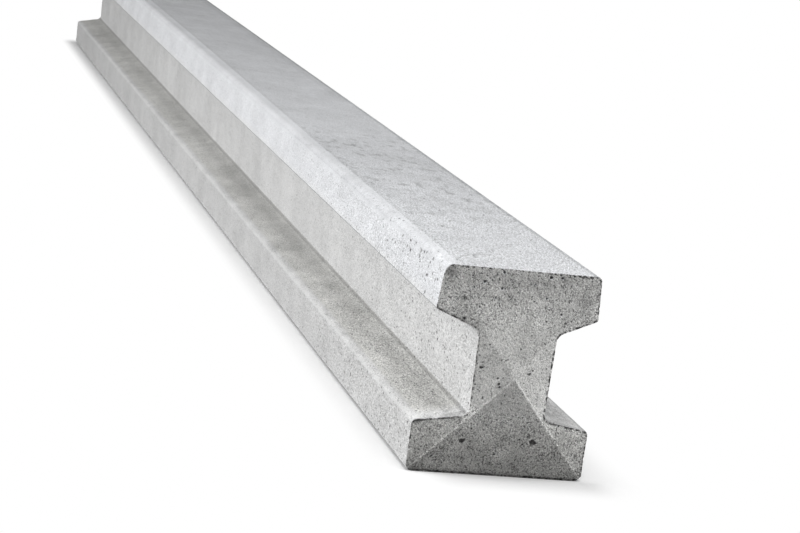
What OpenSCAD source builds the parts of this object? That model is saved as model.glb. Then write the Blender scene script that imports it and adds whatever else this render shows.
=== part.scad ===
// Slotted concrete fence post, lying on its wider face.
// A precast post with a panel slot down each side and a shallow four-way weathered top.
// Millimetres. X runs along the post towards the weathered top, Y across it, Z up.
// The origin is on the floor, under the middle of the post.

/* [Post] */
// Length overall, foot to the peak of the weathered top
post_length = 1750; // [600:10:3000]
// Width of the wider face, which it lies on
base_width = 95; // [85:1:110]
// Width of the narrower face, on top as it lies
top_width = 84; // [74:1:86]
// Depth from the wider face to the narrower face
section_depth = 109; // [104:1:120]

/* [Panel slots] */
// Height of the lower flange at its outer edge
lower_lip = 27; // [22:1:30]
// Height of the lower flange where it meets the web
lower_root = 33; // [32:1:38]
// Height of the upper flange's underside where it meets the web
upper_root = 77.5; // [72:0.5:80]
// Height of the upper flange's underside at its outer edge
upper_lip = 85.5; // [84:0.5:90]
// Width across the upper flange's lower corners
upper_width = 87; // [86:1:94]
// Web thickness where it meets the lower flange
web_at_lower = 40.5; // [34:0.5:44]
// Web thickness where it meets the upper flange
web_at_upper = 42; // [34:0.5:46]

/* [Weathered top] */
// How far the peak stands out from the eaves
weathering_rise = 11; // [4:1:20]
// Height of the peak above the wider face
peak_height = 54.5; // [45:0.5:65]

/* [Rounded arrises] */
// Radius of the wider face's long corners
base_radius = 3.5; // [2:0.5:6]
// Radius of the lower flange's upper corners
lower_lip_radius = 2.5; // [1:0.5:5]
// Radius in the four inner corners of the slots
root_radius = 4.5; // [2:0.5:6]
// Radius of the upper flange's lower corners
upper_lip_radius = 1.5; // [1:0.5:5]
// Radius of the narrower face's long corners
top_radius = 3; // [2:0.5:6]

/* [Hidden] */

$fn = 48;
concrete_grey = "#b9b9b6";
eaves_x = post_length / 2 - weathering_rise;
cutter_size = 3 * section_depth;

// The right-hand half of the section, from the wider face up: [across, up, corner radius]
half_section = [
    [base_width / 2, 0, base_radius],
    [base_width / 2, lower_lip, lower_lip_radius],
    [web_at_lower / 2, lower_root, root_radius],
    [web_at_upper / 2, upper_root, root_radius],
    [upper_width / 2, upper_lip, upper_lip_radius],
    [top_width / 2, section_depth, top_radius],
];
half_count = len(half_section);
// The whole section, anticlockwise, its left half mirrored from the right
outline = [
    for (i = [0 : 2 * half_count - 1])
        i < half_count
            ? half_section[i]
            : let (corner = half_section[2 * half_count - 1 - i]) [-corner[0], corner[1], corner[2]]
];

function flat(corner) = [corner[0], corner[1]];
function unit(v) = v / norm(v);
function corner_at(i) = outline[(i + len(outline)) % len(outline)];
// Unit directions from a corner towards the corners before and after it
function back_from(i) = unit(flat(corner_at(i - 1)) - flat(corner_at(i)));
function on_from(i) = unit(flat(corner_at(i + 1)) - flat(corner_at(i)));
function half_angle(i) = acos(back_from(i) * on_from(i)) / 2;
// Where the arc of a rounded corner meets the straight edge that leaves in this direction
function arc_end(i, direction) =
    flat(corner_at(i)) + direction * corner_at(i)[2] / tan(half_angle(i));
function arc_centre(i) =
    flat(corner_at(i)) + unit(back_from(i) + on_from(i)) * corner_at(i)[2] / sin(half_angle(i));
function is_outer(i) = cross(on_from(i), back_from(i)) > 0;

module corner_circles(outer) {
    for (i = [0 : len(outline) - 1])
        if (is_outer(i) == outer)
            translate(arc_centre(i)) circle(r = corner_at(i)[2]);
}

// The outline with each corner cut straight from arc end to arc end,
// then filled out to the arc at the outer corners and cut back to it at the inner ones
module section() {
    difference() {
        union() {
            polygon([
                for (i = [0 : len(outline) - 1])
                    for (direction = [back_from(i), on_from(i)])
                        arc_end(i, direction)
            ]);
            corner_circles(true);
        }
        corner_circles(false);
    }
}

// Everything on the outer side of the plane through three points
module beyond(a, b, c) {
    outward = unit(cross(b - a, c - a));
    translate(a)
        rotate([0, acos(outward[2]), atan2(outward[1], outward[0])])
            translate([-cutter_size / 2, -cutter_size / 2, 0])
                cube(cutter_size);
}

// Four slopes that rise from the eaves to the peak
module weathering() {
    peak = [post_length / 2, 0, peak_height];
    eaves = [
        [eaves_x, -base_width / 2, 0],
        [eaves_x, base_width / 2, 0],
        [eaves_x, top_width / 2, section_depth],
        [eaves_x, -top_width / 2, section_depth],
    ];
    for (i = [0 : 3])
        beyond(peak, eaves[i], eaves[(i + 1) % 4]);
}

module post() {
    color(concrete_grey)
        difference() {
            translate([-post_length / 2, 0, 0])
                rotate([90, 0, 90])
                    linear_extrude(height = post_length)
                        section();
            weathering();
        }
}

post();
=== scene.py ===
"""A slotted concrete fence post, cast in one piece, lying on a white studio floor."""

import math
import random

import bmesh
import bpy
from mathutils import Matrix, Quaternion, Vector, kdtree, noise
from mathutils.bvhtree import BVHTree


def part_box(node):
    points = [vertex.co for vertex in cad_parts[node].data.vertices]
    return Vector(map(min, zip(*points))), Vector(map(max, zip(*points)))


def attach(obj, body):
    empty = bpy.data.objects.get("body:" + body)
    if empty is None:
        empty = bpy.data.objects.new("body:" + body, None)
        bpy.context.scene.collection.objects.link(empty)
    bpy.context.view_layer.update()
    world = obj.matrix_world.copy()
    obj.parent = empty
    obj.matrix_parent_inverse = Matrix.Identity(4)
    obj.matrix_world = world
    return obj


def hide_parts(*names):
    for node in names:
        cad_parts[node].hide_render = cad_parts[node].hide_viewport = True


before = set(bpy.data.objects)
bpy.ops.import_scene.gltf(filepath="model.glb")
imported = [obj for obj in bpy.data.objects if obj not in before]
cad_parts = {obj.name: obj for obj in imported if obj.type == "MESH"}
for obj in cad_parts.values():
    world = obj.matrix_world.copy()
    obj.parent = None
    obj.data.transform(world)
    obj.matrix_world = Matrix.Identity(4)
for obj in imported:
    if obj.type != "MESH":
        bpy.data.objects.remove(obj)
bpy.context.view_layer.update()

MM = 0.001
post_low, post_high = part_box("post")
post_depth = post_high.z - post_low.z
# How far the peak of the weathered top stands out past its eaves
PEAK_HEIGHT = 11 * MM
top_eaves = post_high.x - PEAK_HEIGHT
# Heights in millimetres that part the bed arris, the lower flange with half the web, the rest of the web,
# the upper flange's sides and the trowelled face
BED_ARRIS = 2
SLOT_MIDDLE = 60
UPPER_LIPS = 86
TROWELLED = 106
# Farther out than this, in millimetres, lie the web's sides and the flanges' lips
WEB_SIDE = 16


# ---------------------------------------------------------------- the post's mesh

# Distances between the points of the mesh
ARC_SPACING = 0.8 * MM
FLAT_SPACING = 2.4 * MM
TOP_SPACING = 1.6 * MM
FOOT_SPACING = 3 * MM
MIDDLE_SPACING = 24 * MM
ARRIS_SPACING = 0.8 * MM
PORED_SPACING = 6.4 * MM
SPACING_GROWTH = 0.02
# Points closer than this are one point, points this near to a slice are on it, and edges shorter than the
# last are dropped
SAME_PLACE = 0.01 * MM
SLICE_TOLERANCE = 0.2 * MM
SHORTEST_EDGE = 0.1 * MM
# An edge is split when it is this many times as long as wanted, in this many rounds
SPLIT_RATIO = 1.35
SPLIT_ROUNDS = 3
# The length below the peak that is sliced evenly, the length that carries scattered pores, and the length
# whose mesh is made finer round them
TOP_LENGTH = 24 * MM
PORED_LENGTH = 150 * MM
REFINED_LENGTH = PORED_LENGTH + 30 * MM
# Faces whose normal leans less than this along the post are its sides
END_LEAN = 0.9
# Slopes of the top that meet at less than this are one slope
HIP_ANGLE = math.radians(8)
# Edges that turn by more than this stay crisp
CRISP_ANGLE = math.radians(28)


def only(kind, elements):
    return [element for element in elements if isinstance(element, kind)]


def merged_copy():
    """The post's CAD mesh with its points joined."""
    bm = bmesh.new()
    bm.from_mesh(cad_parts["post"].data)
    bmesh.ops.remove_doubles(bm, verts=bm.verts, dist=SAME_PLACE)
    bm.normal_update()
    return bm


def foot_outline():
    """The outline of the section at the foot, its points evenly spaced."""
    bm = merged_copy()
    on_outline = {-1, 0}
    inside = [edge for edge in bm.edges if {round(face.normal.x) for face in edge.link_faces} != on_outline]
    bmesh.ops.delete(bm, geom=inside, context="EDGES")
    bmesh.ops.delete(bm, geom=[vert for vert in bm.verts if not vert.link_edges], context="VERTS")
    bmesh.ops.remove_doubles(bm, verts=bm.verts, dist=ARC_SPACING)
    for edge in list(bm.edges):
        bmesh.ops.subdivide_edges(bm, edges=[edge], cuts=int(edge.calc_length() / FLAT_SPACING))
    return bm


def weathering_planes():
    """A point and a normal for each slope of the weathered top."""
    slopes = {}
    bm = merged_copy()
    for face in sorted(bm.faces, key=lambda face: face.calc_area()):
        if face.normal.x > END_LEAN:
            direction = tuple(round(part, 1) for part in face.normal)
            slopes[direction] = (face.verts[0].co.copy(), face.normal.copy())
    bm.free()
    return slopes.values()


def slice_faces(bm, faces, axis, low, high, spacing):
    """Cuts some faces with evenly spaced planes across one axis."""
    edges = {edge for face in faces for edge in face.edges}
    verts = {vert for face in faces for vert in face.verts}
    geom = faces + list(edges) + list(verts)
    across = Vector([part == axis for part in range(3)])
    count = round((high - low) / spacing)
    for step in range(1, count):
        place = across * (low + (high - low) * step / count)
        cut = bmesh.ops.bisect_plane(bm, geom=geom, plane_co=place, plane_no=across, dist=SLICE_TOLERANCE)
        geom = cut["geom"]


def extrude_to_peak(bm, top_start):
    """Closes the foot, draws the outline out past the peak and cuts it back to the weathered top."""
    ring = list(bm.edges)
    bmesh.ops.contextual_create(bm, geom=ring)
    for length in (top_start - post_low.x, TOP_LENGTH * 1.5):
        made = bmesh.ops.extrude_edge_only(bm, edges=ring)["geom"]
        ring = only(bmesh.types.BMEdge, made)
        bmesh.ops.translate(bm, verts=only(bmesh.types.BMVert, made), vec=(length, 0, 0))
    for point, normal in weathering_planes():
        whole = bm.verts[:] + bm.edges[:] + bm.faces[:]
        cut = bmesh.ops.bisect_plane(bm, geom=whole, plane_co=point, plane_no=normal, clear_outer=True)
        rim = [edge for edge in only(bmesh.types.BMEdge, cut["geom_cut"]) if edge.is_boundary]
        bmesh.ops.contextual_create(bm, geom=rim)
    bmesh.ops.recalc_face_normals(bm, faces=bm.faces)


def cut_stations(bm, top_start):
    """Cuts the long sides into rings that crowd together towards both ends."""
    stations = [post_low.x]
    while stations[-1] < top_start:
        from_foot = FOOT_SPACING + SPACING_GROWTH * (stations[-1] - post_low.x)
        from_top = TOP_SPACING + SPACING_GROWTH * (top_start - stations[-1])
        stations.append(stations[-1] + min(from_foot, MIDDLE_SPACING, from_top))
    length = top_start - post_low.x
    stretch = length / (stations[-1] - post_low.x)
    even = length / (len(stations) - 1)
    long_edges = [edge for edge in bm.edges if abs(edge.verts[0].co.x - edge.verts[1].co.x) > length / 2]
    bmesh.ops.subdivide_edges(bm, edges=long_edges, cuts=len(stations) - 2, use_grid_fill=True)
    for vert in bm.verts:
        if vert.co.x < top_start - SAME_PLACE:
            station = stations[round((vert.co.x - post_low.x) / even)]
            vert.co.x = post_low.x + (station - post_low.x) * stretch


def plain_post():
    """The post as it leaves a perfect mould, in small faces."""
    top_start = post_high.x - TOP_LENGTH
    bm = foot_outline()
    extrude_to_peak(bm, top_start)
    for direction, spacing in ((1, TOP_SPACING), (-1, FOOT_SPACING)):
        for axis in (1, 2):
            ends = [face for face in bm.faces if face.normal.x * direction > END_LEAN]
            slice_faces(bm, ends, axis, post_low[axis], post_high[axis], spacing)
    near_top = [face for face in bm.faces if face.calc_center_median().x > top_start]
    sides = [face for face in near_top if face.normal.x < END_LEAN]
    slice_faces(bm, sides, 0, top_start, post_high.x, TOP_SPACING)
    cut_stations(bm, top_start)
    bmesh.ops.dissolve_degenerate(bm, dist=SHORTEST_EDGE, edges=bm.edges)
    bm.normal_update()
    return bm


def arris_edges(bm):
    """The edges where an end meets the sides, and the hips where two slopes of the top meet."""
    arrises = []
    hips = []
    for edge in bm.edges:
        steepness = sorted(abs(face.normal.x) for face in edge.link_faces)
        if steepness[0] > END_LEAN and edge.calc_face_angle() > HIP_ANGLE:
            hips.append(edge)
        elif steepness[0] < END_LEAN < steepness[1]:
            arrises.append(edge)
    return arrises, hips


def point_tree(points):
    tree = kdtree.KDTree(len(points))
    for index, point in enumerate(points):
        tree.insert(point, index)
    tree.balance()
    return tree


def edge_tree(edges):
    return point_tree([vert.co for edge in edges for vert in edge.verts])


# ---------------------------------------------------------------- pores

# Pores on the weathered top that are placed one by one: across, up and radius, in millimetres
TOP_PORES = (
    (-21, 18.5, 1.5), (-20, 19, 1.0), (16.5, 20.5, 1.6), (18, 20, 1.0), (9.5, 21.5, 0.6),
    (-8.5, 54, 0.6), (-7.5, 51, 0.7), (-7, 49.5, 0.6), (-11, 99, 0.8), (-20.5, 101.5, 0.8),
    (-29, 82.5, 0.8), (-22, 89, 0.6), (-17.5, 58.5, 0.8), (8, 57.5, 0.7), (-10.5, 107, 0.9),
    (14.5, 106.5, 1.0), (20.5, 106.5, 0.8), (13, 96, 0.6), (21.5, 88.5, 0.7), (-14, 94, 0.5),
    (6.5, 102.5, 0.5),
)
# Pores on the near side that are placed one by one: how far back from the eaves, up and radius
NEAR_PORES = (
    (26, 106, 0.8), (29, 103, 0.8), (30, 96, 0.7), (40, 106, 0.9), (44, 105, 1.0), (50, 104, 1.0),
    (48, 100, 0.8), (63, 106, 1.0), (70, 100.5, 1.0), (74, 105, 0.8), (90, 104, 0.8), (83, 97, 0.7),
    (101, 98, 0.9), (108, 98, 0.9), (118, 95, 0.9), (122, 106, 0.8), (16, 37, 0.7), (10, 37, 0.6),
    (98, 45, 0.9), (73, 47, 0.9), (51, 51, 0.7),
)
# Pores scattered over the sides: towards which side, lowest and highest place, how many
SIDE_PORES = (
    (-1, 87, 106, 18), (-1, 36, 76, 22), (-1, 3, 25, 20),
    (1, 87, 106, 22), (1, 36, 76, 16), (1, 3, 25, 14),
)
SIDE_RADII = (0.5, 0.6, 0.7, 0.85)
# Pores looked for on the weathered top, where those over the slots miss: how many, how far across and up,
# and their radii
FINE_PORES = 60
FINE_ACROSS = (-45, 45)
FINE_UP = (3, 106)
FINE_RADII = (0.35, 0.4, 0.5)
# Pores scattered over the trowelled face: how many, how far across, and their radii
TROWELLED_PORES = 16
TROWELLED_ACROSS = (-34, 36)
TROWELLED_RADII = (0.5, 0.6, 0.8)
# How far from the peak the scattered pores of the sides and of the trowelled face begin, and the power that
# crowds those of the sides towards it
SIDE_PORES_FROM = 20 * MM
TROWELLED_PORES_FROM = 14 * MM
CROWDING = 1.4
# A probe for a pore starts this far out from the origin, in metres, well clear of the post
PROBE_START = 1
INWARDS_FROM_TOP = Vector((-1, 0, 0))
DOWN = Vector((0, 0, -1))


def pore_probes():
    """Where to look for the face that each pore is in: start, direction and radius."""
    draw = random.Random(4)
    for across, up, radius in TOP_PORES:
        yield Vector((PROBE_START, across * MM, up * MM)), INWARDS_FROM_TOP, radius
    for _ in range(FINE_PORES):
        start = Vector((PROBE_START, draw.uniform(*FINE_ACROSS) * MM, draw.uniform(*FINE_UP) * MM))
        yield start, INWARDS_FROM_TOP, draw.choice(FINE_RADII)
    for back, up, radius in NEAR_PORES:
        yield Vector((top_eaves - back * MM, -PROBE_START, up * MM)), Vector((0, 1, 0)), radius
    for side, lowest, highest, count in SIDE_PORES:
        for _ in range(count):
            along = post_high.x - SIDE_PORES_FROM - PORED_LENGTH * draw.random() ** CROWDING
            start = Vector((along, side * PROBE_START, draw.uniform(lowest, highest) * MM))
            yield start, Vector((0, -side, 0)), draw.choice(SIDE_RADII)
    for _ in range(TROWELLED_PORES):
        along = post_high.x - TROWELLED_PORES_FROM - PORED_LENGTH * draw.random()
        start = Vector((along, draw.uniform(*TROWELLED_ACROSS) * MM, PROBE_START))
        yield start, DOWN, draw.choice(TROWELLED_RADII)


def pores(bm):
    """Where the air bubbles in the concrete lie open: place, direction inwards and radius."""
    surface = BVHTree.FromBMesh(bm)
    found = []
    for start, direction, radius in pore_probes():
        place, normal, _, _ = surface.ray_cast(start, direction)
        if place is not None:
            found.append((place, -normal, radius * MM))
    return found


def refine(bm, pore_list):
    """Makes the mesh finer along the cut arrises and round the pores."""
    arrises, hips = arris_edges(bm)
    arris_tree = edge_tree(arrises + hips)
    pore_tree = point_tree([place for place, _, _ in pore_list])
    for _ in range(SPLIT_ROUNDS):
        too_long = []
        for edge in bm.edges:
            middle = (edge.verts[0].co + edge.verts[1].co) / 2
            if middle.x < post_high.x - REFINED_LENGTH:
                continue
            length = edge.calc_length()
            wanted = PORED_SPACING
            if arris_tree.find(middle)[2] < ARRIS_SPACING * 2:
                wanted = ARRIS_SPACING
            _, index, distance = pore_tree.find(middle)
            radius = pore_list[index][2]
            if distance < radius + length / 2:
                wanted = min(wanted, radius / 2)
            if length > wanted * SPLIT_RATIO:
                too_long.append(edge)
        bmesh.ops.subdivide_edges(bm, edges=too_long, cuts=1, use_grid_fill=True)


# ---------------------------------------------------------------- wear

# How far the wear along the cut arrises reaches, and how big and about how deep its chips and crumbs are
WEAR_REACH = 2.6 * MM
CHIP_SIZE = 3.5 * MM
CHIP_DEPTH = 1.7 * MM
CRUMB_SIZE = 1.3 * MM
CRUMB_DEPTH = 0.25 * MM
# Noise above these is a chip or a crumb, and this brings the larger chips up to about their depth, with the
# deepest a little beyond it
CHIP_THRESHOLD = 0.34
CRUMB_THRESHOLD = -0.2
CHIP_GAIN = 2.2
# A hip is worn no more than a point this far from an arris
HIP_STANDOFF = 1.2 * MM
# How much is rubbed off the bed arris of the top and how wide, and off the near side of the upper flange
BED_RUB = 0.9 * MM
BED_RUB_WIDTH = 1.2 * MM
SIDE_RUB = 0.9 * MM
# The middle and radius of the worn rounding along the near side of the upper flange
ROUNDING_MIDDLE = (-36.8 * MM, 104.4 * MM)
ROUNDING_RADIUS = 4.5 * MM
# How far the cast faces wander from flat, and over what lengths
LONG_WAVE = 0.14 * MM
LONG_WAVE_SIZE = 90 * MM
SHORT_WAVE = 0.06 * MM
SHORT_WAVE_SIZE = 18 * MM
# The cut arrises are this near to an end, and the weathered top is this near to its peak
ARRIS_ZONE = 40 * MM
TOP_ZONE = 14 * MM
# Distances from an arris or a hip are not noted beyond this
FAR_OFF = 10 * MM
# No pore reaches farther than this, and points this near to an arris are smoothed by this share
PORE_REACH = 3 * MM
SMOOTHED_REACH = 0.9 * MM
SMOOTHED_SHARE = 0.4
# The face whose normal leans down more than this is the one the post lies on, and it stays flat
BED_LEAN = -0.9
# Grimy places on the weathered top: across, up, radius in millimetres, and how dark
GRIMY_PLACES = (
    (-38, 106, 5, 0.5), (-27, 29, 5, 0.1), (-44.5, 27.5, 2.5, 0.8), (-40, 28.5, 3, 0.4),
    (-38, 8, 8, 0.1), (-45, 2, 7, 0.35), (45, 2, 6, 0.15), (34, 96, 6, 0.25), (35, 89, 5, 0.08),
    (42, 92, 5, -0.12), (-38, 92, 7, -0.21), (-15, 58, 4, 0.1), (5, 103, 6, 0.2), (14, 102, 5, 0.2),
    (-8, 103, 5, 0.2), (-28, 102, 5, 0.1), (22, 106, 5, 0.25), (-5, 95, 8, 0.08), (20, 84, 9, 0.1),
    (-10, 4, 12, 0.12), (12, 5, 12, 0.12), (-7, 50, 3, 0.25), (10, 83, 6, -0.1), (-12, 55, 8, -0.1),
    (-20, 30, 5, -0.2), (-20, 36, 5, -0.25), (5, 44, 8, -0.1), (16, 50, 8, -0.08), (17, 38, 6, -0.12),
    (0, 12, 6, -0.12), (22, 14, 6, -0.08), (-22, 42, 6, -0.1), (-16, 72, 8, -0.1), (0, 60, 6, -0.12),
    (34, 22, 6, 0.1), (38, 14, 6, 0.08), (2, 69, 6, 0.08),
)


def ripple(point, size, seed):
    """Smooth noise from -1 to 1 whose lumps are about as big as the size given."""
    return noise.noise(point / size + Vector((seed * 17.3, seed * 5.9, seed * 11.1)))


def wear_depth(point, from_arris):
    """How much of the concrete has gone from a cut arris at this point."""
    nearness = max(0.0, 1 - from_arris / WEAR_REACH)
    chip = max(0.0, ripple(point, CHIP_SIZE, 1) - CHIP_THRESHOLD) * CHIP_GAIN * CHIP_DEPTH
    crumb = max(0.0, ripple(point, CRUMB_SIZE, 2) - CRUMB_THRESHOLD) * CRUMB_DEPTH
    return chip * nearness ** 1.5 + crumb * max(0.0, nearness * 2 - 1)


def rub_depth(vert, from_arris):
    """How much has been rubbed off by the bed that the post lay on and by its neighbour in the stack."""
    up = vert.co.z / MM
    bed = BED_RUB * max(0.0, 1 - from_arris / BED_RUB_WIDTH) * (vert.co.x > 0 and up < BED_ARRIS)
    up_the_side = min(1.0, max(0.0, up - UPPER_LIPS) / (TROWELLED - UPPER_LIPS))
    side = SIDE_RUB * max(0.0, -vert.normal.y) * up_the_side * (vert.co.y < 0)
    return bed + side


def wave_depth(point):
    """How far the cast face falls short of flat at this point."""
    long_wave = LONG_WAVE * (1 + ripple(point, LONG_WAVE_SIZE, 4)) / 2
    short_wave = SHORT_WAVE * (1 + ripple(point, SHORT_WAVE_SIZE, 5)) / 2
    return long_wave + short_wave


def pore_depth(point, pore):
    """How deep a pore is at this point, as a share of its radius."""
    place, _, radius = pore
    distance = (point - place).length / radius * (1 + 0.3 * ripple(point, radius, 3))
    return math.sqrt(max(0.0, 1 - distance * distance))


def grime_at(point):
    """How dark the grime is at a point of the weathered top, below zero where the concrete is paler."""
    if point.x < post_high.x - TOP_ZONE:
        return 0.0
    total = 0.0
    for across, up, radius, darkness in GRIMY_PLACES:
        spot = Vector((0, across * MM, up * MM))
        distance = (Vector((0, point.y, point.z)) - spot).length / (radius * MM)
        distance *= 1 + 0.4 * ripple(point, radius * MM, 6)
        total += darkness * max(0.0, 1 - distance * distance)
    return total


def round_over(vert):
    """Pulls a point of the near top arris in to its worn rounding."""
    across = vert.co.y - ROUNDING_MIDDLE[0]
    up = vert.co.z - ROUNDING_MIDDLE[1]
    distance = math.hypot(across, up)
    if across < 0 < up and distance > ROUNDING_RADIUS:
        vert.co.y = ROUNDING_MIDDLE[0] + across * ROUNDING_RADIUS / distance
        vert.co.z = ROUNDING_MIDDLE[1] + up * ROUNDING_RADIUS / distance


def deepest_pore(point, pore_tree, pore_list):
    """How deep the deepest pore is at this point, as a share of its radius, and the move that cuts it."""
    deepest = 0.0
    move = Vector((0, 0, 0))
    for _, index, _ in pore_tree.find_range(point, PORE_REACH):
        _, inwards, radius = pore_list[index]
        share = pore_depth(point, pore_list[index])
        if share > deepest:
            deepest = share
            move = inwards * radius * share
    return deepest, move


def wear(bm):
    """Waves, chips and pores, cut inwards, with a note of where they are for the concrete's colour."""
    pore_list = pores(bm)
    refine(bm, pore_list)
    arrises, hips = arris_edges(bm)
    arris_tree = edge_tree(arrises)
    hip_tree = edge_tree(hips)
    pore_tree = point_tree([place for place, _, _ in pore_list])
    notes = ("from_arris", "from_hip", "hollow", "grime")
    layers = {name: bm.verts.layers.float.new(name) for name in notes}
    bm.normal_update()
    moves = []
    rounded = []
    for vert in bm.verts:
        point = vert.co
        near_end = abs(point.x) > post_high.x - ARRIS_ZONE
        from_arris = arris_tree.find(point)[2] if near_end else FAR_OFF
        from_hip = hip_tree.find(point)[2] if point.x > post_high.x - TOP_ZONE else FAR_OFF
        worn = wear_depth(point, min(from_arris, from_hip + HIP_STANDOFF))
        deepest, pore_move = deepest_pore(point, pore_tree, pore_list)
        if vert.normal.z > BED_LEAN:
            inwards = -vert.normal * (wave_depth(point) + worn + rub_depth(vert, from_arris))
            moves.append((vert, inwards + pore_move))
        if from_arris < SMOOTHED_REACH:
            rounded.append(vert)
        vert[layers["from_arris"]] = min(from_arris, FAR_OFF) / MM
        vert[layers["from_hip"]] = min(from_hip, FAR_OFF) / MM
        vert[layers["hollow"]] = max(deepest, min(1, worn / CHIP_DEPTH))
        vert[layers["grime"]] = grime_at(point)
    for vert, move in moves:
        vert.co += move
        vert.co.z = max(vert.co.z, post_low.z)
        round_over(vert)
    axes = {"use_axis_x": True, "use_axis_y": True, "use_axis_z": True}
    bmesh.ops.smooth_vert(bm, verts=rounded, factor=SMOOTHED_SHARE, **axes)
    for edge in arrises + hips:
        edge.smooth = False


def concrete_post():
    bm = plain_post()
    wear(bm)
    bmesh.ops.triangulate(bm, faces=bm.faces)
    for edge in bm.edges:
        if edge.calc_face_angle() > CRISP_ANGLE:
            edge.smooth = False
    for face in bm.faces:
        face.smooth = True
    mesh = bpy.data.meshes.new("concrete_post")
    bm.to_mesh(mesh)
    bm.free()
    piece = bpy.data.objects.new("concrete_post", mesh)
    bpy.context.scene.collection.objects.link(piece)
    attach(piece, "root")
    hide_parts("post")
    return piece


# ---------------------------------------------------------------- writing materials

class Value:
    """A number, colour or direction that varies over a surface, written in ordinary arithmetic."""

    def __init__(self, finish, socket):
        self.finish = finish
        self.socket = socket

    def math(self, operation, first, second):
        return self.finish.node("ShaderNodeMath", {"operation": operation}, {0: first, 1: second})

    def __add__(self, other):
        return self.math("ADD", self, other)

    def __radd__(self, other):
        return self.math("ADD", other, self)

    def __sub__(self, other):
        return self.math("SUBTRACT", self, other)

    def __rsub__(self, other):
        return self.math("SUBTRACT", other, self)

    def __mul__(self, other):
        return self.math("MULTIPLY", self, other)

    def __rmul__(self, other):
        return self.math("MULTIPLY", other, self)

    def __truediv__(self, other):
        return self.math("DIVIDE", self, other)

    def __pow__(self, other):
        return self.math("POWER", self, other)

    def __abs__(self):
        return self.math("ABSOLUTE", self, 0.0)

    def __lt__(self, other):
        return self.math("LESS_THAN", self, other)

    def __gt__(self, other):
        return self.math("GREATER_THAN", self, other)

    def at_least(self, low):
        return self.math("MAXIMUM", self, low)

    def rise(self, low, high):
        """0 below low, 1 above high and smooth between them; low may be the higher of the two."""
        if low > high:
            return 1 - self.rise(high, low)
        sockets = {"Value": self, "From Min": low, "From Max": high}
        return self.finish.node("ShaderNodeMapRange", {"interpolation_type": "SMOOTHSTEP"}, sockets)


class Finish:
    """A material in the making, with the one way of adding a node to it."""

    def __init__(self, name, tree=None):
        if tree is None:
            self.material = bpy.data.materials.new(name)
            self.material.use_nodes = True
            tree = self.material.node_tree
        self.tree = tree
        self.tree.nodes.clear()

    def node(self, kind, settings=None, sockets=None, output=0):
        node = self.tree.nodes.new(kind)
        for name, value in (settings or {}).items():
            if name == "stops":
                self.set_stops(node.color_ramp.elements, value)
            else:
                setattr(node, name, value)
        for name, value in (sockets or {}).items():
            if isinstance(value, Value):
                self.tree.links.new(value.socket, node.inputs[name])
            else:
                node.inputs[name].default_value = value
        return Value(self, node.outputs[output]) if node.outputs else None

    def set_stops(self, elements, stops):
        while len(elements) < len(stops):
            elements.new(1)
        for element, (position, tone) in zip(elements, stops):
            element.position = position
            element.color = (tone, tone, tone, 1)

    def parts(self, vector):
        """The three parts of a place or a direction."""
        return [self.node("ShaderNodeSeparateXYZ", None, {0: vector}, axis) for axis in "XYZ"]

    def noted(self, name):
        """A number that the mesh has noted at each of its points."""
        return self.node("ShaderNodeAttribute", {"attribute_name": name}, None, "Fac")

    def scaled(self, vector, amount):
        return self.node("ShaderNodeVectorMath", {"operation": "SCALE"}, {0: vector, "Scale": amount})

    def noise(self, place, size, detail=2.0):
        """Noise about zero, mostly within one either way, in lumps about as big as the size given."""
        raw = self.node("ShaderNodeTexNoise", None, {"Vector": place, "Scale": 1 / size, "Detail": detail})
        return (raw - 0.5) * 4

    def blend(self, amount, first, second):
        """From the first colour to the second as the amount goes from 0 to 1."""
        sockets = {0: amount, 6: first, 7: second}
        return self.node("ShaderNodeMix", {"data_type": "RGBA"}, sockets, 2)

    def graded(self, place, tones):
        """A tone read off a list of places and tones, straight between them."""
        start = tones[0][0]
        span = tones[-1][0] - start
        stops = [((where - start) / span, tone) for where, tone in tones]
        return self.node("ShaderNodeValToRGB", {"stops": stops}, {"Fac": (place - start) / span})

    def surface(self, shader):
        self.node("ShaderNodeOutputMaterial", None, {"Surface": shader})
        return self.material


# ---------------------------------------------------------------- concrete

# Tints of the concrete, as red, green and blue around 1
COOL = (0.975, 0.988, 1.015, 1)
NEUTRAL = (1.0, 1.0, 0.997, 1)
WARM = (1.005, 1.0, 0.970, 1)
# Tones of the sides by their height in millimetres, from the bed to the top arris, with painted shade and
# painted highlights in them
# Painted shade along the bed arris, along the slope's root at the web (dirt as well), up the web under the
# upper flange and on its lower lip; painted highlights on the lower flange's lip and just above the upper
# flange's lip
SIDE_TONES = (
    (0, 0.20), (0.9, 0.28), (1.5, 0.60), (2.1, 0.74), (2.6, 0.69), (3.2, 0.61), (4.5, 0.57),
    (24.9, 0.555), (25.4, 0.61), (27.0, 0.61), (27.5, 0.66), (27.8, 0.595), (28.2, 0.57),
    (31.2, 0.535), (32, 0.57), (32.7, 0.53), (32.9, 0.42), (33.1, 0.36), (34.2, 0.34),
    (34.8, 0.60), (44, 0.62), (74, 0.63), (78, 0.50), (85.0, 0.24), (85.6, 0.26),
    (86.0, 0.72), (87.4, 0.71), (104, 0.70), (106, 0.66),
)
# Tones of the trowelled face by how far across it they lie, from the near side to the far side
# A painted highlight on the worn rounding of the near arris with a darker line just inside it, and painted
# shade on the far arris's rounding
TROWELLED_TONES = (
    (-42, 0.58), (-41, 0.61), (-40, 0.65), (-38.6, 0.69), (-36, 0.73), (-34.5, 0.73),
    (-33.7, 0.62), (-33.1, 0.57), (-32.2, 0.58), (-30.6, 0.61), (37, 0.61), (38, 0.46), (42, 0.44),
)
# Tones of the weathered top by height
TOP_TONES = (
    (0, 0.40), (4, 0.465), (12, 0.48), (18, 0.52), (26, 0.59), (33, 0.67), (48, 0.68),
    (60, 0.66), (78, 0.60), (90, 0.54), (99, 0.49), (105, 0.46), (109, 0.50),
)
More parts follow.
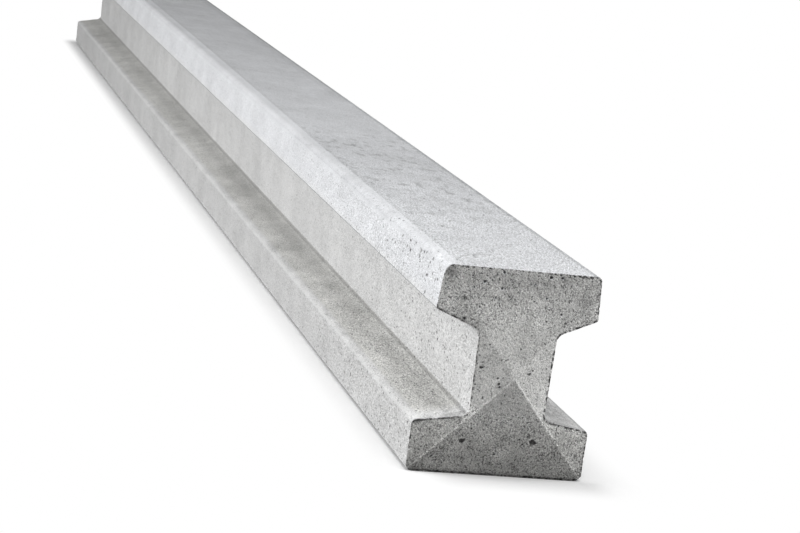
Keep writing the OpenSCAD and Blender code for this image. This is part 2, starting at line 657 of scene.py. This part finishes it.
# The trowel's two sweeps in millimetres: their middles along and across, their radii and where they stop
TIGHT_SWEEP = (843, 2)
TIGHT_SWEEP_RADIUS = 22
TIGHT_SWEEP_STOP = 843
WIDE_SWEEP = (864, 0)
WIDE_SWEEP_RADIUS = 35
WIDE_SWEEP_STOP = -8
# The middle of the fine streaks that the trowel left round them
STREAKS = (850, 0)


def dark_specks(finish, place, size, share, radius):
    """The specks that small air bubbles leave, in a share of the cells, both sizes in millimetres."""
    sockets = {"Vector": place, "Scale": 1 / size}
    distance = finish.node("ShaderNodeTexVoronoi", None, sockets, "Distance")
    colour = finish.node("ShaderNodeTexVoronoi", None, sockets, "Color")
    pick = finish.node("ShaderNodeSeparateColor", None, {0: colour}, "Red")
    return distance.rise(radius / size, radius / size / 2) * pick.rise(1 - share, 1.02 - share)


class ConcreteSurface:
    """Where a point of the post lies, in millimetres, and what its concrete is like there."""

    def __init__(self, finish):
        self.finish = finish
        coordinates = finish.node("ShaderNodeTexCoord", None, None, "Object")
        self.place = finish.scaled(coordinates, 1 / MM)
        sockets = {0: self.place, 1: (0.5, 1, 1)}
        self.drawn_out = finish.node("ShaderNodeVectorMath", {"operation": "MULTIPLY"}, sockets)
        self.along, self.across, self.up = finish.parts(self.place)
        facing = finish.node("ShaderNodeTexCoord", None, None, "Normal")
        self.facing_end, self.facing_across, self.facing_up = finish.parts(facing)
        self.from_arris = finish.noted("from_arris")
        self.find_faces()
        self.find_lumps()
        self.find_specks()

    def find_faces(self):
        """How far back from the peak a point is, and for each kind of face 1 on it and 0 off it."""
        self.back = post_high.x / MM - self.along
        self.weathered = self.back.rise(500, 60)
        self.end = self.facing_end.rise(0.5, 0.8)
        self.long_face = 1 - self.end
        self.trowelled = self.long_face * (self.up > TROWELLED)
        self.slope = self.facing_up.rise(0.6, 0.9) * (self.up < SLOT_MIDDLE)
        self.low_sides = self.long_face * (self.up < UPPER_LIPS) * (1 - self.slope)
        self.upper_side = self.long_face * (self.up > UPPER_LIPS) * (1 - self.trowelled)
        # The worn strip along the trowelled face's near arris, and the painted highlight along it, grow
        # wider towards the foot
        widened = (self.across < 0) * (0.8 + self.back.rise(200, 1000) * 3)
        self.widening = widened * self.across.rise(-39, -35)
        near_strip = (self.across - self.widening).rise(-33.5, -35)
        self.worn_strip = self.long_face * (self.up > 104) * near_strip

    def find_lumps(self):
        """Lumps from clouds down to grains of sand, most of them drawn out along the post by the mould."""
        self.clouds = self.finish.noise(self.place, 45)
        self.mottle = self.finish.noise(self.drawn_out, 9)
        self.patches = self.finish.noise(self.drawn_out, 3.2, 3)
        self.grain = self.finish.noise(self.drawn_out, 1.0, 2)
        self.sand = self.finish.noise(self.drawn_out, 0.4, 1)
        self.drifts = 0.4 + self.finish.noise(self.place, 16, 2).rise(-0.5, 0.7)
        self.crumbs = self.finish.noise(self.place, 1.6, 2)

    def find_specks(self):
        tiny = dark_specks(self.finish, self.place, 1.3, 0.2, 0.34)
        small = dark_specks(self.finish, self.place, 2.6, 0.4, 0.55)
        large = dark_specks(self.finish, self.place, 6, 0.3, 0.9)
        moulded = dark_specks(self.finish, self.place, 3.6, 0.4, 0.75) * self.low_sides * 1.3
        self.specks = tiny + small + large + moulded


def face_tones(at):
    """The plain tone of each face, with the soft bands along its arrises, some of them painted shade and
    painted highlights, and painted shade where the weathered top faces down.
    """
    finish = at.finish
    raggedness = (at.patches + at.grain) * (at.up < 40) * 0.14
    side_tone = finish.graded(at.up + raggedness, SIDE_TONES)
    # Painted shade on the weathered top where it faces down
    painted_underside_shade = at.facing_up.rise(-0.10, -0.15) * at.end
    top_tone = finish.graded(at.up, TOP_TONES) * (1 - painted_underside_shade * 0.10)
    trowelled_tone = finish.graded(at.across + at.patches * 0.4 - at.widening, TROWELLED_TONES)
    return side_tone * (at.long_face - at.trowelled) + top_tone * at.end + trowelled_tone * at.trowelled


def fine_mottling(at):
    """Grain and sand, roughest on the ends and smoothed along the worn strips."""
    fine = (at.grain * 0.22 + at.sand * 0.30) * (0.5 + at.weathered * 0.7)
    on_slope = at.slope * (1.1 - at.back.rise(45, 16) * 0.9)
    fine = fine * (1 + at.end * 1.4 + on_slope + at.trowelled * 0.7 + at.low_sides * 0.15)
    fine = fine * (1 + at.upper_side * at.back.rise(50, 90) * 0.25)
    smooth = at.end * at.up.rise(32, 40) * at.up.rise(86, 74)
    lip_band = at.long_face * at.up.rise(25.0, 25.6) * at.up.rise(28.4, 27.8)
    return fine * (1 - at.worn_strip * 0.65 - smooth * 0.35) * (1 - lip_band * 0.5)


def mottled(at, tone):
    """The ends show more mottling than the faces that lay against the mould, and flecks lie in drifts."""
    on_side = at.clouds * (1.25 - at.weathered * 0.25) + at.mottle * (0.6 + at.weathered * 0.4)
    on_side = on_side + at.patches * (0.5 + at.weathered * 0.5 - at.trowelled * (1 - at.weathered) * 0.1)
    on_side = on_side * (0.065 + at.slope * 0.07)
    on_end = (at.clouds * 0.07 + at.mottle * 0.12 + at.patches * 0.20) * (1 + at.up.rise(26, 18) * 0.3)
    tone = tone * (1 + on_side * at.long_face + on_end * at.end + fine_mottling(at))
    flecks = (at.grain + at.patches * 0.8).rise(0.2, 1.2) * at.drifts
    darkness = (0.24 + at.slope * 0.16 + at.end * 0.14) * (1 - at.worn_strip * 0.5)
    return tone * (1 - flecks * darkness)


def from_middle(at, middle):
    """How far a point is from the middle of a trowel's sweep on the top face."""
    sockets = {0: at.place, 1: (*middle, post_depth / MM)}
    return at.finish.node("ShaderNodeVectorMath", {"operation": "DISTANCE"}, sockets, "Value")


def trowel_mark(at, middle, radius):
    """A thin arc that the sweep of a trowel left on the top face."""
    return abs(from_middle(at, middle) + at.patches * 0.5 - radius).rise(1.1, 0.3)


def swept(at, tone):
    """Stains along the middle of the trowelled face, and the sweep of the trowel near its end."""
    finish = at.finish
    stained = at.trowelled * at.back.rise(120, 300) * at.back.rise(440, 370)
    blots = finish.noise(at.drawn_out, 5, 4).rise(0.0, 0.7) * at.drifts
    blots = blots * at.trowelled * at.back.rise(60, 200) * at.back.rise(500, 380)
    tone = tone * (1 - stained * 0.08 - blots * (1 - at.worn_strip) * 0.25)
    far_band = at.trowelled * at.across.rise(30, 33)
    tone = tone * (1 + at.back.rise(500, 700) * (at.worn_strip * 0.03 - far_band * 0.07))
    sweeps = trowel_mark(at, TIGHT_SWEEP, TIGHT_SWEEP_RADIUS) * (at.along < TIGHT_SWEEP_STOP)
    sweeps = sweeps + trowel_mark(at, WIDE_SWEEP, WIDE_SWEEP_RADIUS) * (at.across < WIDE_SWEEP_STOP)
    tone = tone * (1 - sweeps * at.trowelled * at.drifts * 0.22)
    sockets = {0: from_middle(at, STREAKS), 1: at.along * 0.1, 2: at.across * 0.1}
    streaks = finish.noise(finish.node("ShaderNodeCombineXYZ", None, sockets), 1.5, 2)
    return tone * (1 + streaks * at.trowelled * (0.02 + at.weathered * 0.05))


def far_side_shaded(at, tone):
    """The far side's rounded arrises and slope are painted darker, as painted shade on the side turned from
    the lamps, mottled on the slope.
    """
    # Painted shade on the rounded arrises and the slope of the far side
    far_arris_shade = at.facing_across.rise(0.24, 0.4) * at.facing_up.rise(0.15, 0.4) * (at.up < SLOT_MIDDLE)
    tone = tone * (1 - far_arris_shade * at.long_face * 0.4)
    return tone * (1 - at.slope * (at.across > 0) * (0.08 + (at.patches + at.grain) * 0.2))


def lower_flange_paled_and_shaded(at, tone):
    """The faces are paler close to the end, and the lower flange's slope is darker in bands far back, which
    are painted shade along its root by the web.
    """
    back = at.back
    rim = back.rise(15, 11) * (0.08 + at.across.rise(-34, -30) * 0.16)
    tone = tone * (1 + at.slope * (back.rise(60, 20) * 0.065 - rim))
    tone = tone * (1 + (at.long_face - at.trowelled) * back.rise(32, 12) * 0.05)
    # Painted shade along the slope's root by the web, deeper far back
    tone = tone * (1 - at.slope * back.rise(250, 420) * abs(at.across).rise(37, 29) * 0.10)
    tone = tone * (1 - at.slope * back.rise(380, 600) * abs(at.across).rise(27, 21) * 0.05)
    tone = tone * (1 + at.slope * back.rise(560, 700) * 0.03 + at.trowelled * back.rise(90, 30) * 0.025)
    return tone * (1 + at.long_face * (at.up < UPPER_LIPS) * (0.03 - back.rise(60, 500) * 0.06))


def weathered_top_far_slope_lit(at, tone):
    """The far slope of the weathered top is painted paler, as painted light from the far side, and the near
    one is darker low down.
    """
    far_slope = at.facing_across.rise(0.1, 0.15) * at.end
    near_slope = at.facing_across.rise(-0.1, -0.15) * at.end
    # Painted light on the middle of the far slope
    paler = far_slope * at.up.rise(32, 46) * at.up.rise(84, 76) * 0.12
    return tone * (1 + paler - near_slope * (at.up < 34) * 0.03)


def soiled_and_shaded(at, tone):
    """Specks, pores and chips are darkened, as dirt in them and as painted shade in their depths, and grime
    darkens the weathered top.
    """
    darkness = (0.45 + at.drifts * 0.3) * (0.35 + at.weathered * 0.65)
    tone = tone * (1 - at.specks * darkness)
    # Pores and chips are darkened as dirt and as painted shade in their depths
    hollow = at.finish.noted("hollow").rise(0.1, 0.6)
    tone = tone * (1 - hollow * (0.75 - at.upper_side * 0.2))
    grimy = at.end + at.long_face * at.from_arris.rise(1.6, 0.6)
    return tone * (1 - at.finish.noted("grime") * grimy)


def edged(at, tone):
    """Crumbs show light along the hips, and dark along the cut arrises; the line along the bed arris is
    painted shade, and the line along the slot's arrises is dirt and painted shade.
    """
    from_arris = at.from_arris
    crumbs = at.crumbs
    pale_hip = at.finish.noted("from_hip").rise(0.9, 0.3) * crumbs.rise(-0.7, 0) * at.up.rise(55, 50)
    tone = tone * (1 + pale_hip * 0.5)
    ragged = (at.across > WEB_SIDE) + (at.up > 100) * (at.across < WEB_SIDE) * 0.5
    dashes = (from_arris - ragged * 0.4).rise(1.3, 0.5) * (crumbs + ragged * 0.15).rise(0.05, 0.4)
    tone = tone * (1 - dashes * at.end * (0.75 + ragged * 0.15))
    # A dark line along the slot's arrises, dirt and painted shade together
    slot_dirt_and_shade_line = from_arris.rise(1.7, 0.7) * (at.up > 40) * (at.up < 88) * (at.across < -WEB_SIDE)
    slot_dirt_and_shade_line = slot_dirt_and_shade_line * crumbs.rise(-0.6, 0.1) * (0.3 + (at.up > 75) * 0.22)
    lip_line = from_arris.rise(1.5, 0.8) * (at.up > 25) * (at.up < 34)
    lip_line = lip_line * abs(at.across).rise(21, 26) * crumbs.rise(-0.6, 0) * 0.6
    # Painted shade along the bed arris of the weathered top
    bed_shade_line = from_arris.rise(1.4, 0.8) * (at.up < BED_ARRIS) * 0.45
    far_line = from_arris.rise(1.6, 0.8) * (at.up > 36) * (at.up < 74)
    far_line = far_line * (at.across > WEB_SIDE) * crumbs.rise(-0.2, 0.2) * 0.5
    return tone * (1 - at.end * (slot_dirt_and_shade_line + lip_line + bed_shade_line + far_line))


def tint(at):
    """Cooler on the upper flange, and warmer on the near slope of the lower one and on the ends."""
    blend = at.finish.blend
    cool = at.long_face * at.up.rise(80, 92)
    on_slope = at.up.rise(27.5, 28.2) * at.up.rise(34.9, 34.4)
    warm = at.long_face * (at.across < 0) * on_slope * at.back.rise(14, 30)
    long_faces = blend(warm, blend(cool, NEUTRAL, COOL), WARM)
    return blend(at.end * (0.6 + at.up.rise(36, 20) * 0.35), long_faces, WARM)


def concrete():
    finish = Finish("concrete")
    at = ConcreteSurface(finish)
    tone = swept(at, mottled(at, face_tones(at)))
    tone = weathered_top_far_slope_lit(at, lower_flange_paled_and_shaded(at, far_side_shaded(at, tone)))
    tone = edged(at, soiled_and_shaded(at, tone))
    colour = finish.scaled(tint(at), tone)
    height = at.grain * 0.06 + at.sand * 0.04 + at.patches * 0.06 - at.specks * 0.3
    relief = finish.node("ShaderNodeBump", None, {"Strength": 1.0, "Distance": MM, "Height": height})
    roughness = 0.9 + at.patches * 0.03
    sockets = {"Base Color": colour, "Roughness": roughness, "Normal": relief, "Specular IOR Level": 0.3}
    return finish.surface(finish.node("ShaderNodeBsdfPrincipled", None, sockets))


# ---------------------------------------------------------------- studio

WHITE = (1, 1, 1, 1)
FLOOR_HALF_SIZE = 40
# The floor's own greys, as it is seen in the post's shadow and as it lights the post
FLOOR_SEEN_TONE = (0.95, 0.95, 0.95)
FLOOR_BOUNCE_TONE = (0.38, 0.38, 0.38, 1)
# How far from the post's ends, near side and far side the floor is white altogether
END_FADE = 0.050
NEAR_FADE = 0.018
FAR_FADE = 0.034
WORLD_STRENGTH = 0.2
# The softboxes: name, place, aim, size and power
SOFTBOXES = (
    ("side_softbox", (0.4, -2.4, 0.7), (0.5, 0, 0.05), (1.6, 1.0), 36),
    ("front_side_softbox", (1.0, -2.3, 0.9), (0.8, 0, 0.05), (1.0, 1.0), 12),
    ("high_side_softbox", (0.3, -2.0, 1.8), (0.4, 0, 0.05), (1.6, 1.0), 7),
    ("far_side_softbox", (1.2, 2.2, 0.5), (0.87, 0, 0.05), (0.9, 0.7), 31),
    ("overhead_softbox", (1.1, 0, 1.05), (0.85, 0, 0.05), (0.6, 0.6), 6.5),
)
# The camera stands off the weathered top, low and a little to the near side, and is tipped by its roll
CAMERA_PLACE = (top_eaves + 1.0548, -0.3517, 0.3186)
CAMERA_AIM = (top_eaves, -0.0650, 0.1052)
CAMERA_ROLL = math.radians(8.1)
CAMERA_LENS = 100.7
CAMERA_SENSOR = 36


def seen_directly(finish):
    """1 where the camera sees a surface straight, in a gloss or through glass, and 0 for other light."""
    names = ("Is Camera Ray", "Is Glossy Ray", "Is Transmission Ray")
    camera, glossy, through = [finish.node("ShaderNodeLightPath", None, None, name) for name in names]
    return finish.node("ShaderNodeClamp", None, {"Value": camera + glossy + through})


def white_floor_paint():
    """Pale grey to the light that bounces off it, and white to the eye outside the post's shadow."""
    finish = Finish("white_floor")
    coordinates = finish.node("ShaderNodeTexCoord", None, None, "Object")
    along, across, _ = finish.parts(coordinates)
    out = abs(along) - top_eaves
    past_end = out.at_least(0) / END_FADE
    past_near = (post_low.y - across).at_least(0) / NEAR_FADE
    past_far = (across - post_high.y).at_least(0) / FAR_FADE
    past_side = past_near + past_far
    whiteness = ((past_end * past_end + past_side * past_side) ** 0.5).rise(0, 1)
    # A painted shadow darkens the floor just past the ends, on the far half of the post's width
    shadow_past_end = out.rise(-0.004, 0.004) * out.rise(0.034, 0.010)
    shadow_far_half = across.rise(-0.045, -0.020) * (1 - past_far.rise(0, 0.6))
    seen_tone = finish.scaled(FLOOR_SEEN_TONE, 1 - shadow_past_end * shadow_far_half * 0.2)
    bounce = finish.node("ShaderNodeBsdfDiffuse", None, {"Color": FLOOR_BOUNCE_TONE})
    seen = finish.node("ShaderNodeBsdfDiffuse", None, {"Color": seen_tone})
    glow = finish.node("ShaderNodeEmission", None, {"Color": WHITE, "Strength": 1.0})
    seen = finish.node("ShaderNodeMixShader", None, {0: whiteness, 1: seen, 2: glow})
    sockets = {0: seen_directly(finish), 1: bounce, 2: seen}
    return finish.surface(finish.node("ShaderNodeMixShader", None, sockets))


def studio_floor():
    bm = bmesh.new()
    bmesh.ops.create_grid(bm, x_segments=1, y_segments=1, size=FLOOR_HALF_SIZE)
    mesh = bpy.data.meshes.new("studio_floor")
    bm.to_mesh(mesh)
    bm.free()
    floor = bpy.data.objects.new("studio_floor", mesh)
    floor.data.materials.append(white_floor_paint())
    bpy.context.scene.collection.objects.link(floor)


def studio_world():
    world = bpy.data.worlds.new("studio_world")
    bpy.context.scene.world = world
    world.use_nodes = True
    finish = Finish("studio_world", world.node_tree)
    light = finish.node("ShaderNodeBackground", None, {"Color": WHITE, "Strength": WORLD_STRENGTH})
    seen = finish.node("ShaderNodeBackground", None, {"Color": WHITE, "Strength": 1.0})
    surface = finish.node("ShaderNodeMixShader", None, {0: seen_directly(finish), 1: light, 2: seen})
    finish.node("ShaderNodeOutputWorld", None, {"Surface": surface})


def stand(data, place, aim, roll=0.0):
    """Puts a lamp or the camera in its place, pointing at its aim and turned about that line."""
    stood = bpy.data.objects.new(data.name, data)
    stood.location = place
    stood.rotation_mode = "QUATERNION"
    level = (Vector(aim) - Vector(place)).to_track_quat("-Z", "Y")
    stood.rotation_quaternion = level @ Quaternion((0, 0, 1), roll)
    bpy.context.scene.collection.objects.link(stood)
    return stood


def softbox(name, place, aim, size, power):
    data = bpy.data.lights.new(name, "AREA")
    data.shape = "RECTANGLE"
    data.size, data.size_y = size
    data.energy = power
    stand(data, place, aim).visible_camera = False


def studio_camera():
    data = bpy.data.cameras.new("camera")
    data.sensor_width = CAMERA_SENSOR
    data.lens = CAMERA_LENS
    bpy.context.scene.camera = stand(data, CAMERA_PLACE, CAMERA_AIM, CAMERA_ROLL)


post = concrete_post()
post.data.materials.append(concrete())

studio_floor()
studio_world()
for box in SOFTBOXES:
    softbox(*box)
studio_camera()
bpy.context.scene.view_settings.view_transform = "Standard"
